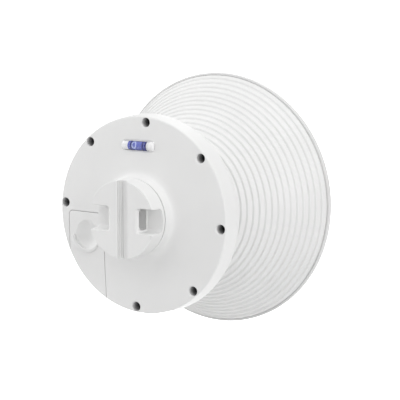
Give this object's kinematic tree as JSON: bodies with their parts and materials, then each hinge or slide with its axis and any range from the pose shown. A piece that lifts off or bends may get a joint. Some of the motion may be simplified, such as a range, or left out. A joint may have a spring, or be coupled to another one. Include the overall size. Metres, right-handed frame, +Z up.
{
  "type": "outdoor wireless bridge",
  "caption": "Round outdoor radio unit with a terraced horn antenna on its front, and a notched pole saddle, spirit level and slide-on cable cover on its back.",
  "frame": {"origin": "middle of the pole saddle's bearing plane, where the pole touches", "axes": "+Y is the way the horn looks, away from the pole; +Z is up; +X is to the right when seen from the pole"},
  "size_m": [0.1776, 0.1276, 0.1776],
  "materials": {
    "shell_white": "fine satin moulding texture",
    "saddle_white": "fine satin moulding texture",
    "cap_white": "smooth",
    "seal_rubber": "matt",
    "screw_steel": "plain",
    "horn_aluminium": "bright pressed sheet",
    "shield_tinplate": "tinned sheet",
    "vial_acrylic": "clear acrylic",
    "vial_blue": "coloured spirit",
    "bubble_air": "air",
    "board_green": "solder mask",
    "chip_black": "moulded epoxy",
    "contact_gold": "gold plated",
    "led_lens": "diffusing lens"
  },
  "bodies": {
    "housing": {"rear_cover": "shell_white", "front_housing": "shell_white", "horn_shell": "shell_white", "radome": "shell_white", "pole_saddle": "saddle_white", "vial_cap": "cap_white", "patch_spacer": "cap_white", "body_gasket": "seal_rubber", "radome_gasket": "seal_rubber", "rear_screw_1": "screw_steel", "rear_screw_2": "screw_steel", "rear_screw_3": "screw_steel", "rear_screw_4": "screw_steel", "rear_screw_5": "screw_steel", "rear_screw_6": "screw_steel", "rear_screw_7": "screw_steel", "rear_screw_8": "screw_steel", "board_screw_1": "screw_steel", "board_screw_2": "screw_steel", "board_screw_3": "screw_steel", "board_screw_4": "screw_steel", "saddle_screw_1": "screw_steel", "saddle_screw_2": "screw_steel", "saddle_screw_3": "screw_steel", "saddle_screw_4": "screw_steel", "horn_liner": "horn_aluminium", "patch_radiator": "horn_aluminium", "ethernet_jack": "shield_tinplate", "rf_shield": "shield_tinplate", "vial_tube": "vial_acrylic", "vial_liquid": "vial_blue", "main_board": "board_green", "processor": "chip_black", "ethernet_transformer": "chip_black", "reset_switch": "chip_black", "jack_contacts": "contact_gold", "status_led_1": "led_lens", "status_led_2": "led_lens", "status_led_3": "led_lens", "status_led_4": "led_lens"},
    "cover": {"cable_cover": "shell_white"},
    "reset": {"reset_button": "cap_white"},
    "bubble": {"vial_bubble": "bubble_air"}
  },
  "joints": [
    {"name": "cable_cover_slide", "type": "slide", "parent": "housing", "child": "cover", "axis": [0, 0, -1], "range_m": [0, 0.062]},
    {"name": "reset_press", "type": "slide", "parent": "housing", "child": "reset", "axis": [0, 0, 1], "range_m": [0, 0.0004], "stiffness_N_per_m": 1500},
    {"name": "bubble_drift", "type": "slide", "parent": "housing", "child": "bubble", "axis": [1, 0, 0], "range_m": [-0.003, 0.003], "stiffness_N_per_m": 0.2}
  ]
}
